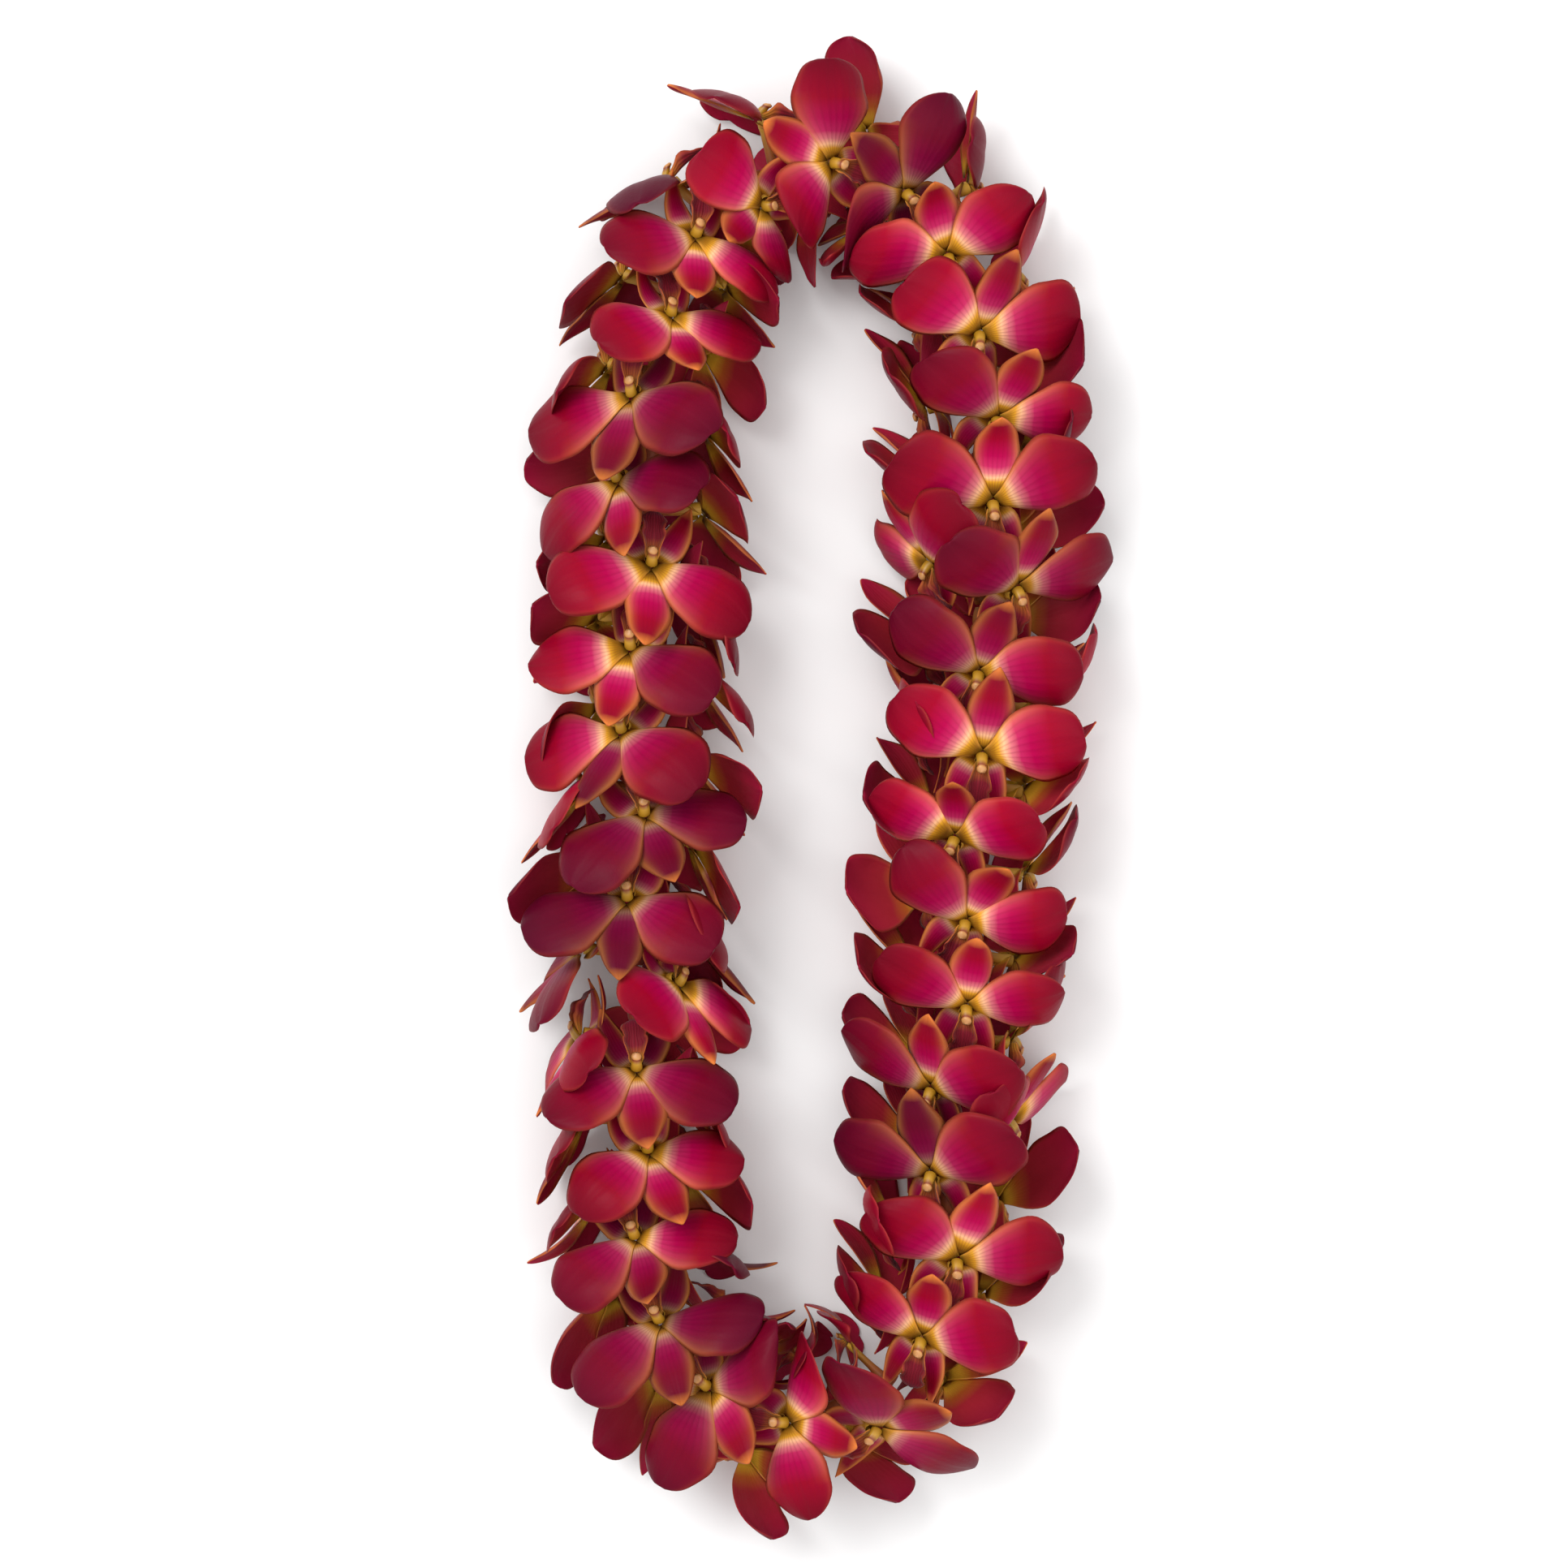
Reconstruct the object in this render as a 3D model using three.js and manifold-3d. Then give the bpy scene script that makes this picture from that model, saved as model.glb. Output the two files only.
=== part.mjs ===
// A fresh flower lei: a hundred and two orchid blooms threaded through their throats on one
// closed loop of cotton string, laid flat. Millimetres, +Z up, +Y along the loop's length.
//
// The blooms follow each other in three rows: one looks up, the two others look down to the inside
// and to the outside. Each blossom stands off the string on a short stalk and leans forward, in the
// sense that runs up the left side of the loop, over the top and down the right, so that the
// blossoms lie on each other like scales and do not cross.
import * as THREE from 'three';
import { mergeVertices } from 'three/addons/utils/BufferGeometryUtils.js';
import Module from 'manifold-3d';

const wasm = await Module();
wasm.setup();

const BLOOMS = 102;
const BLOOMS_IN_A_NODE = 2;
const ROWS = 3;
// The turn of each row's blossoms about the string, in degrees from the inside of the loop.
const ROW_TURNS = [90, 205, 335];

// The string's course, looking down on it: two long sides and two round ends.
const COURSE = [
  [-4, 222], [27, 212], [46, 183], [53, 138], [54, 75], [52, 0], [46, -75], [43, -130],
  [37, -175], [19, -209], [-12, -220], [-43, -207], [-62, -173], [-68, -120], [-68, -55],
  [-66, 20], [-64, 90], [-62, 142], [-54, 184], [-34, 212],
];
const STRING_RADIUS = 0.7;
const STRING_SIDES = 6;
const KNOT_RADIUS = 1.4;
const KNOT_ROOM = 1.8;
const TAIL_LENGTH = 9;
const TAIL_RADIUS = 0.55;

// The neck of a bloom is the tube of tissue that the string runs through. Its stalk grows from one
// side of it, between two rings.
const NECK = { radius: 3.1, endRadius: 2.5, sides: 6, bore: 1.1, gap: 0.45, rings: [-2.0, 2.0] };

// The blossom's face: its height over the string, and its slope against the string.
const FACE = { height: 20.5, slope: THREE.MathUtils.degToRad(35) };
// The stalk's rings below the face and at its level, where the tepals grow from its four sides.
const STALK = { half: 1.9, levels: [-3.6, -1.6, 0.4] };

// The blades of a blossom. Each grows from a side of the stalk (0 back, 1 right, 2 front, 3 left)
// in one of its bands, and has rows at a distance from the middle of the face, in a direction from
// the dorsal sepal's in degrees, with a half width, a height over the face and raised edges.
const PETAL = {
  band: 1, side: 1, reach: [18, 34.4], angle: [59, 61], half: [15.2, 10.8], rise: [0.5, -2.6],
  edge: [-1.4, -2.6], rounding: 2.2, thickness: 1.3,
};
const DORSAL_SEPAL = {
  band: 0, side: 0, reach: [15, 30], angle: [0, 0], half: [6.6, 0], rise: [-3.1, -3.2],
  edge: [-0.8, 0], rounding: 0, thickness: 1.3,
};
const LATERAL_SEPAL = {
  band: 0, side: 1, reach: [11.4, 24], angle: [151, 156], half: [4.7, 0], rise: [-4.4, 6.2],
  edge: [-0.4, 0], rounding: 0, thickness: 1.3,
};
const LIP = {
  band: 1, side: 2, reach: [6.5, 13.5, 18], angle: [180, 180, 180], half: [4.6, 5.6, 0],
  rise: [3.6, 6.4, 5.2], edge: [2.2, 0.4, 0], rounding: 0, thickness: 1.3,
};
const COLUMN = { tip: 5.4, half: 1.1, nod: -2.0 };

// How much one bloom differs from the next. The rows also drift about the string in waves, each
// with its number round the loop, its swing in degrees and its start.
const VARIETY = {
  turn: 6, shift: 0.8, size: 0.06, roll: 22, nod: 0.13, lean: 0.18, lift: 1.5, sway: 3.8,
  drift: [[3, 16, 4.76], [7, 9, 0.75], [13, 14, 0.38]],
};
const SEED = 3000;
// What rests on the ground is pressed flat: heights below the string shrink towards PRESS.
const PRESS = 32;
const GROUND = -23.6;

const COLOURS = { bloom: 0x8e0a2e, string: 0xe9e2d2 };

// A number from -1 to 1, always the same for the same bloom and purpose.
function draw(bloom, purpose) {
  const wave = Math.sin((bloom + SEED) * 127.1 + purpose * 311.7) * 43758.5453;
  return 2 * (wave - Math.floor(wave)) - 1;
}

const course = new THREE.CatmullRomCurve3(
  COURSE.map(([x, y]) => new THREE.Vector3(x, y, 0)), true, 'centripetal');
course.arcLengthDivisions = 1600;
const length = course.getLength();
const pitch = length / BLOOMS;
const frames = course.computeFrenetFrames(BLOOMS, true);
const joints = Array.from({ length: BLOOMS + 1 }, (_, i) => course.getPointAt((i % BLOOMS) / BLOOMS));
const UP = new THREE.Vector3(0, 0, 1);

// The place of one bloom: its middle, the way it faces, the side towards the inside of the loop,
// how sharply the string bends there, and the turn of its dorsal sepal.
function placeBloom(bloom) {
  const start = joints[bloom];
  const end = joints[bloom + 1];
  const facing = end.clone().sub(start).normalize();
  const inward = facing.clone().cross(UP);
  const before = frames.tangents[bloom];
  const after = frames.tangents[(bloom + 1) % BLOOMS];
  const bend = after.clone().sub(before).dot(inward) / pitch;
  const stringMiddle = start.clone().add(end).multiplyScalar(0.5);
  const middle = stringMiddle.clone().addScaledVector(facing, VARIETY.shift * draw(bloom, 1));
  let turn = ROW_TURNS[bloom % ROWS] + VARIETY.turn * draw(bloom, 2);
  for (const [waves, swing, phase] of VARIETY.drift) {
    turn += swing * Math.sin(2 * Math.PI * waves * bloom / BLOOMS + phase);
  }
  return {
    bloom, middle, stringMiddle, facing, inward, bend,
    turn: THREE.MathUtils.degToRad(turn),
    size: 1 + VARIETY.size * draw(bloom, 3),
    roll: THREE.MathUtils.degToRad(VARIETY.roll * draw(bloom, 4)),
    nod: VARIETY.nod * draw(bloom, 5),
    lean: VARIETY.lean * draw(bloom, 6),
  };
}

function outward(place, azimuth) {
  return place.inward.clone().multiplyScalar(Math.cos(azimuth)).addScaledVector(UP, Math.sin(azimuth));
}

// Lays a height down: what hangs low is pressed up towards the ground.
function press(height) {
  const pressed = height < 0 ? -PRESS * (1 - Math.exp(height / PRESS)) : height;
  return Math.max(pressed, GROUND);
}

// A point of a blossom: x across its face, y towards its dorsal sepal, z out of the face. The face
// is rolled a little, and leans and nods. Where the string bends, what stands to the inside is
// squeezed along the string, because room is short.
function facePoint(place, x, y, z) {
  const across = x * Math.cos(place.roll) - y * Math.sin(place.roll);
  const along = x * Math.sin(place.roll) + y * Math.cos(place.roll);
  const proud = z + place.nod * along + place.lean * across;
  const forward = -along * Math.cos(FACE.slope) + proud * Math.sin(FACE.slope);
  const out = FACE.height + along * Math.sin(FACE.slope) + proud * Math.cos(FACE.slope);
  const inside = out * Math.cos(place.turn) - across * Math.sin(place.turn);
  const height = out * Math.sin(place.turn) + across * Math.cos(place.turn);
  const squeeze = 1 - Math.max(0, place.bend * inside);
  return place.middle.clone().addScaledVector(place.facing, forward * squeeze)
    .addScaledVector(place.inward, inside).addScaledVector(UP, press(height));
}

// The mesh of one node under way: points and the triangles between them.
function startBody() {
  return { positions: [], index: [], count: 0 };
}

// Adds a ring of points and returns their numbers. The same point given twice is one point.
function addRing(body, ring) {
  const numbers = new Map();
  return ring.map((point) => {
    if (!numbers.has(point)) {
      body.positions.push(point.x, point.y, point.z);
      numbers.set(point, body.count);
      body.count += 1;
    }
    return numbers.get(point);
  });
}

function addTriangle(body, a, b, c) {
  if (a !== b && b !== c && c !== a) body.index.push(a, b, c);
}

// Walls from one ring of four to the next. The cut across each wall starts at an edge of the blade
// and ends on its ridge, so the front and the back of a blade are split alike. The edges are the
// first and the third point of a ring, or on a mirrored blade the second and the fourth.
function addWalls(body, lower, upper, mirrored) {
  for (let k = 0; k < 4; k += 1) {
    const next = (k + 1) % 4;
    if ((k % 2 === 1) !== mirrored) {
      addTriangle(body, lower[next], lower[k], upper[k]);
      addTriangle(body, lower[next], upper[k], upper[next]);
    } else {
      addTriangle(body, lower[next], lower[k], upper[next]);
      addTriangle(body, lower[k], upper[k], upper[next]);
    }
  }
}

// Grows a blade or a stalk out of a face, through rings of four points.
function grow(body, root, { rings, mirrored }) {
  let lower = root;
  for (const [left, back, right, front] of rings) {
    const upper = addRing(body, mirrored ? [back, right, front, left] : [left, back, right, front]);
    addWalls(body, lower, upper, mirrored);
    lower = upper;
  }
  addTriangle(body, lower[0], lower[3], lower[2]);
  addTriangle(body, lower[0], lower[2], lower[1]);
}

// Walls between two rings of equally many points. Something may grow from a wall instead.
function addBand(body, back, front, growths = []) {
  back.forEach((_, side) => {
    const next = (side + 1) % back.length;
    const root = [back[side], back[next], front[next], front[side]];
    const growth = growths.find((one) => one.side === side);
    if (growth) {
      growth.build(root);
    } else {
      addTriangle(body, root[0], root[3], root[2]);
      addTriangle(body, root[0], root[2], root[1]);
    }
  });
}

// A blade's rings: two edges and a ridge on both faces, ending in a rounded or a pointed tip.
function bladeRings(place, shape, hand, purpose) {
  const rows = shape.reach.length;
  return shape.reach.map((distance, row) => {
    const share = (row + 1) / rows;
    const reach = distance * place.size;
    const sway = VARIETY.sway * share * draw(place.bloom, purpose);
    const angle = THREE.MathUtils.degToRad(hand * shape.angle[row] + sway);
    const along = [Math.sin(angle), Math.cos(angle)];
    const rise = shape.rise[row] + VARIETY.lift * share * draw(place.bloom, purpose + 1);
    const at = (ahead, aside, up) => facePoint(place,
      along[0] * ahead - along[1] * aside, along[1] * ahead + along[0] * aside, rise + up);
    const half = shape.half[row] * place.size;
    const edge = shape.edge[row];
    if (row < rows - 1) {
      const thick = shape.thickness / 2;
      return [at(reach, half, edge), at(reach, 0, -thick), at(reach, -half, edge), at(reach, 0, thick)];
    }
    const tip = at(reach + shape.rounding, 0, 0);
    if (!half) return [tip, tip, tip, tip];
    return [at(reach, half, edge), tip, at(reach, -half, edge), tip];
  });
}

// The column: a short stub that looks out of the throat and nods over the lip.
function columnRings(place) {
  const { tip, half, nod } = COLUMN;
  return [[
    facePoint(place, -half, nod + half, tip), facePoint(place, half, nod + half, tip),
    facePoint(place, half, nod - half, tip), facePoint(place, -half, nod - half, tip),
  ]];
}

// One blossom: its stalk grows out of the neck and turns into the face, whose four sides and end
// bear the tepals, the lip and the column.
function blossom(body, place, root) {
  const rings = STALK.levels.map((level) => addRing(body, [
    facePoint(place, -STALK.half, STALK.half, level), facePoint(place, STALK.half, STALK.half, level),
    facePoint(place, STALK.half, -STALK.half, level), facePoint(place, -STALK.half, -STALK.half, level),
  ]));
  const blade = (shape, hand, purpose) => ({
    side: hand < 0 ? 3 : shape.side,
    band: shape.band,
    build: (face) => grow(body, face, {
      rings: bladeRings(place, shape, hand, purpose), mirrored: hand < 0,
    }),
  });
  const blades = [
    blade(PETAL, 1, 10), blade(PETAL, -1, 12), blade(DORSAL_SEPAL, 1, 14),
    blade(LATERAL_SEPAL, 1, 16), blade(LATERAL_SEPAL, -1, 18), blade(LIP, 1, 20),
  ];
  addBand(body, root, rings[0]);
  addBand(body, rings[0], rings[1], blades.filter((one) => one.band === 0));
  addBand(body, rings[1], rings[2], blades.filter((one) => one.band === 1));
  grow(body, rings[2], { rings: columnRings(place), mirrored: false });
}

// A ring of points round the string at one joint between two blooms.
function stringRing(joint, radius, forward) {
  const i = joint % BLOOMS;
  const middle = joints[i].clone().addScaledVector(frames.tangents[i], forward);
  return Array.from({ length: STRING_SIDES }, (_, side) => {
    const angle = 2 * Math.PI * side / STRING_SIDES;
    return middle.clone().addScaledVector(frames.normals[i], -radius * Math.cos(angle))
      .addScaledVector(frames.binormals[i], radius * Math.sin(angle));
  });
}

// The corners of a neck. Its first side, less those skipped, looks the way that its blossom does.
function neckRing(place, forward, radius, skipped) {
  const side = 2 * Math.PI / NECK.sides;
  const centre = place.stringMiddle.clone().addScaledVector(place.facing, forward);
  return Array.from({ length: NECK.sides }, (_, corner) => {
    const azimuth = place.turn + (corner - skipped - 0.5) * side;
    return centre.clone().addScaledVector(outward(place, azimuth), radius);
  });
}

// The blooms of one node: their necks end to end as one tube, with their blossoms.
function bloomNode(first) {
  const body = startBody();
  const places = Array.from({ length: BLOOMS_IN_A_NODE }, (_, i) => placeBloom(first + i));
  const last = (first + BLOOMS_IN_A_NODE) % BLOOMS;
  const room = (joint) => (joint === 0 ? KNOT_ROOM : NECK.gap);
  const skippedBy = (i) => i * NECK.sides / ROWS;

  const startFace = neckRing(places[0], room(first) - pitch / 2, NECK.endRadius, 0);
  const startRing = addRing(body, startFace);
  let previous = startRing;
  places.forEach((place, i) => {
    const [back, front] = NECK.rings.map(
      (forward) => addRing(body, neckRing(place, forward, NECK.radius, skippedBy(i))));
    addBand(body, previous, back);
    addBand(body, back, front, [{ side: skippedBy(i), build: (face) => blossom(body, place, face) }]);
    previous = front;
  });
  const endRing = addRing(body, neckRing(
    places.at(-1), pitch / 2 - room(last), NECK.endRadius, skippedBy(BLOOMS_IN_A_NODE - 1)));
  addBand(body, previous, endRing);

  // The bore has the string's corners, counted from the one beside the tube's first corner.
  const bore = Array.from({ length: BLOOMS_IN_A_NODE + 1 }, (_, i) => {
    const forward = (i === 0 ? room(first) : 0) - (i === BLOOMS_IN_A_NODE ? room(last) : 0);
    return stringRing(first + i, NECK.bore, forward);
  });
  const distances = bore[0].map((corner) => corner.distanceTo(startFace[0]));
  const offset = distances.indexOf(Math.min(...distances));
  const inner = bore.map((ring) => addRing(body, ring.map((_, i) => ring[(i + offset) % ring.length])));
  for (let i = 0; i < BLOOMS_IN_A_NODE; i += 1) addBand(body, inner[i + 1], inner[i]);
  addBand(body, inner[0], startRing);
  addBand(body, endRing, inner.at(-1));

  const geometry = new THREE.BufferGeometry();
  geometry.setAttribute('position', new THREE.Float32BufferAttribute(body.positions, 3));
  geometry.setIndex(body.index);
  return geometry;
}

// A solid for joining, made from a geometry whose equal points are one.
function solid(geometry) {
  const bare = geometry.clone();
  bare.deleteAttribute('normal');
  bare.deleteAttribute('uv');
  const merged = mergeVertices(bare, 1e-4);
  return new wasm.Manifold(new wasm.Mesh({
    numProp: 3,
    vertProperties: new Float32Array(merged.attributes.position.array),
    triVerts: new Uint32Array(merged.index.array),
  }));
}

// The string, closed by a small knot between two blooms, with its two cut tails.
function knottedString() {
  const loop = new THREE.TubeGeometry(course, BLOOMS, STRING_RADIUS, STRING_SIDES, true);
  const knot = new THREE.IcosahedronGeometry(KNOT_RADIUS, 0);
  const tails = [150, 280].map((degrees) => {
    const tail = new THREE.CylinderGeometry(TAIL_RADIUS, TAIL_RADIUS, TAIL_LENGTH, 5);
    tail.translate(0, TAIL_LENGTH / 2, 0);
    tail.rotateX(THREE.MathUtils.degToRad(-10));
    return { tail, azimuth: THREE.MathUtils.degToRad(degrees) };
  });
  const place = { inward: frames.tangents[0].clone().cross(UP) };
  const turned = tails.map(({ tail, azimuth }) => {
    const radial = outward(place, azimuth);
    const basis = new THREE.Matrix4().makeBasis(
      radial.clone().cross(frames.tangents[0]), radial, frames.tangents[0]);
    return tail.applyMatrix4(basis.setPosition(joints[0]));
  });
  knot.translate(...joints[0].toArray());
  const whole = [loop, knot, ...turned].map(solid).reduce((sum, piece) => sum.add(piece));
  const { vertProperties, triVerts } = whole.getMesh();
  const geometry = new THREE.BufferGeometry();
  geometry.setAttribute('position', new THREE.BufferAttribute(vertProperties, 3));
  geometry.setIndex(new THREE.BufferAttribute(triVerts, 1));
  return geometry;
}

const shapes = { thread: knottedString() };
for (let node = 0; node < BLOOMS / BLOOMS_IN_A_NODE; node += 1) {
  shapes[`blooms_${String(node + 1).padStart(2, '0')}`] = bloomNode(node * BLOOMS_IN_A_NODE);
}

const lei = new THREE.Group();
const finishes = {
  string: new THREE.MeshStandardMaterial({ color: COLOURS.string, roughness: 0.9, metalness: 0 }),
  bloom: new THREE.MeshStandardMaterial({ color: COLOURS.bloom, roughness: 0.5, metalness: 0 }),
};
for (const [name, geometry] of Object.entries(shapes)) {
  geometry.computeVertexNormals();
  const mesh = new THREE.Mesh(geometry, name === 'thread' ? finishes.string : finishes.bloom);
  mesh.name = name;
  lei.add(mesh);
}

// The origin is under the middle of the whole lei, on the ground.
const box = new THREE.Box3().setFromObject(lei, true);
const middle = box.getCenter(new THREE.Vector3());
for (const mesh of lei.children) mesh.geometry.translate(-middle.x, -middle.y, -box.min.z);

export default lei;
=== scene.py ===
import math
from collections import namedtuple

import bpy
import numpy as np
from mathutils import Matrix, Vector


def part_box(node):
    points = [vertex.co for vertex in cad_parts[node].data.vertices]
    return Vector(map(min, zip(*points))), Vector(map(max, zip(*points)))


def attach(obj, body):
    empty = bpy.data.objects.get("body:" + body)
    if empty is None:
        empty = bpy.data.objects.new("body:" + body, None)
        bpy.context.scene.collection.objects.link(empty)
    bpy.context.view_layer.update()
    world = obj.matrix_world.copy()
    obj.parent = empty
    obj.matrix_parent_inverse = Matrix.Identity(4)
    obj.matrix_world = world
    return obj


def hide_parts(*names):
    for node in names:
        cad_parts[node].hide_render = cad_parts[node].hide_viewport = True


bl_info = {
    "name": "Orchid lei",
    "version": (1, 0, 0),
    "blender": (4, 5, 0),
    "location": "View3D > Sidebar > Lei",
    "description": "Builds a lei of fresh orchid blooms on a cotton string, laid flat",
    "category": "Add Mesh",
}

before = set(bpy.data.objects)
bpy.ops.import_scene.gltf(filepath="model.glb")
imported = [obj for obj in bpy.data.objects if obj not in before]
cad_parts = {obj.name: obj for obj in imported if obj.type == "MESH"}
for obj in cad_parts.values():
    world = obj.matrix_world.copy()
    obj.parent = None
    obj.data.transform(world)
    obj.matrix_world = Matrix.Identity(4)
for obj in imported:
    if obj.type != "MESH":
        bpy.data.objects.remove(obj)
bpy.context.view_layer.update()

# Shapes are worked out in millimetres. The frame and the finished meshes are in metres.
MM = 1000

# The image is taken to be 1932 pixels square, at 3.5 pixels to the millimetre.
IMAGE = 1932
PIXELS_PER_MM = 3.5
OBJECT_CENTRE = (999.5, 973)

BLOOMS = 102
BLOOMS_IN_A_NODE = 2
# Degrees round the string. There are three rows, and the blooms of a row stand a little to one
# side and the other in turn.
ROW_TURNS = (97, 209, 332, 83, 200, 338)
COURSE = np.array([
    (-4, 222), (27, 212), (46, 183), (53, 138), (54, 75), (52, 0), (46, -75), (43, -130),
    (37, -175), (19, -209), (-12, -220), (-43, -207), (-62, -173), (-68, -120), (-68, -55),
    (-66, 20), (-64, 90), (-62, 142), (-54, 184), (-34, 212),
], float)
COURSE_SAMPLES = 1601
# A share of the course, short enough to give its direction.
NEARBY = 2e-5
STRING_RADIUS = 0.7
# Heights are from the string's middle. Tepals below it give way, the more the lower they hang, as
# PRESS sets, and the lowest are pressed flat on the ground.
GROUND = -23.6
PRESS = 32
FACE_HEIGHT = 20.5
FACE_SLOPE = math.radians(35)
NECK_RADIUS = 3.1
NECK_GAP = 1.0
# How far the draws reach: degrees round the string, millimetres along it, a share of the bloom's
# size, and a blade's lift in millimetres and sway in degrees.
TURN, SHIFT_ALONG, SIZE, LIFT, SWAY = 10, 0.8, 0.08, 1.8, 6.0
# How far a bloom's face may tilt: degrees of roll, and the slopes of its nod and lean.
ROLL, NOD, LEAN = 25, 0.13, 0.18
# Slow waves in the blooms' turn: how many go round the loop, their degrees and their phase.
DRIFT = [(3, 16, 4.76), (7, 9, 0.75), (13, 14, 0.38)]
SEED = 3000

# Where a blade and a lip start, from the middle of the face, and how far the lip reaches on.
BLADE_START = 1.2
LIP_START, LIP_LENGTH = 1.4, 17.2
# The exponents of a blade's outline as it widens and as it closes, and its half width at the tip.
WIDENING, CLOSING = 1.3, 2.1
TIP_HALF = 0.18
# Rows of points lie closer together towards a blade's tip.
TIPWARD = 1.6
# A blade is this thick at its margin, and as much more along its middle.
MARGIN_THICKNESS, MIDDLE_THICKNESS = 0.35, 0.75
# A blade whose draw is under UNFOLDED has no fold. Others fold from FOLD_FROM of their half width.
UNFOLDED, FOLD_FROM = 0.3, 0.4
# The shares of its length from which a blade's tip curls, and from which a blade strays off the face.
CURL_FROM, STRAY_FROM = 0.62, 0.4
# How much of the front's colour shows on a blade's rim.
RIM_FRONT = 0.55

# The radii of the knot's cord and of its cut tails, and how far a tail reaches out and back.
KNOT_CORD, TAIL_CORD = 0.42, 0.5
TAIL_OUT, TAIL_BACK = 8.6, 1.5

# The materials of a piece with blooms, and of the string.
PETAL, SEPAL, LATERAL, LIP, COLUMN, NECK = range(6)
COTTON = 0

SENSOR_MM = 36
# The height that the camera is set for, and half of the floor's side, in metres.
LEI_HALF_HEIGHT = 0.03
FLOOR_HALF = 6
# Name, place, size in metres and power in watts.
LIGHTS = (
    ("key", (-0.9, 0.8, 1.9), 1.1, 32),
    ("fill", (1.2, -0.6, 1.7), 1.5, 11),
    ("top", (0.1, 0.1, 2.6), 1.6, 14),
)
SKY_STRENGTH = 0.84


def draw(bloom, purpose):
    """A number from -1 to 1, always the same for the same bloom and purpose."""
    wave = math.sin((bloom + SEED) * 127.1 + purpose * 311.7) * 43758.5453
    return 2 * (wave - math.floor(wave)) - 1


def linear(code):
    """A colour code such as 8e0a2e as linear red, green and blue."""
    channels = [int(code[i:i + 2], 16) / 255 for i in (0, 2, 4)]
    return tuple(c / 12.92 if c <= 0.04045 else ((c + 0.055) / 1.055) ** 2.4 for c in channels)


def course_point(share):
    """A point of the closed course, by the share of its given points that are passed."""
    count = len(COURSE)
    place = (share % 1.0) * count
    i = int(math.floor(place))
    weight = place - i
    p0, p1, p2, p3 = (COURSE[(i + k) % count] for k in (-1, 0, 1, 2))
    d0, d1, d2 = (math.sqrt(np.linalg.norm(b - a)) for a, b in ((p0, p1), (p1, p2), (p2, p3)))
    t1 = ((p1 - p0) / d0 - (p2 - p0) / (d0 + d1) + (p2 - p1) / d1) * d1
    t2 = ((p2 - p1) / d1 - (p3 - p1) / (d1 + d2) + (p3 - p2) / d2) * d1
    square = -3 * p1 + 3 * p2 - 2 * t1 - t2
    cube = 2 * p1 - 2 * p2 + t1 + t2
    return p1 + t1 * weight + square * weight ** 2 + cube * weight ** 3


class Course:
    """The string's closed course, by its length."""

    def __init__(self):
        self.shares = np.linspace(0, 1, COURSE_SAMPLES)
        self.points = np.array([course_point(share) for share in self.shares])
        steps = np.linalg.norm(np.diff(self.points, axis=0), axis=1)
        self.lengths = np.concatenate([[0], np.cumsum(steps)])
        self.length = self.lengths[-1]
        self.pitch = self.length / BLOOMS

    def at(self, part):
        """The point at a part of the whole length, from 0 to 1."""
        return course_point(np.interp((part % 1.0) * self.length, self.lengths, self.shares))

    def tangent(self, part):
        """The unit direction at a part of the whole length."""
        way = self.at(part + NEARBY) - self.at(part - NEARBY)
        return way / np.linalg.norm(way)


course = Course()
course_middle_x = (course.points[:, 0].min() + course.points[:, 0].max()) / 2
course_low_y = course.points[:, 1].min() - STRING_RADIUS
thread_low, thread_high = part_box("thread")
# From the course's own origin to the frame's.
OFFSET = np.array([
    (thread_low.x + thread_high.x) / 2 * MM - course_middle_x,
    thread_low.y * MM - course_low_y,
    -GROUND,
])
UP = np.array([0.0, 0.0, 1.0])


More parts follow.
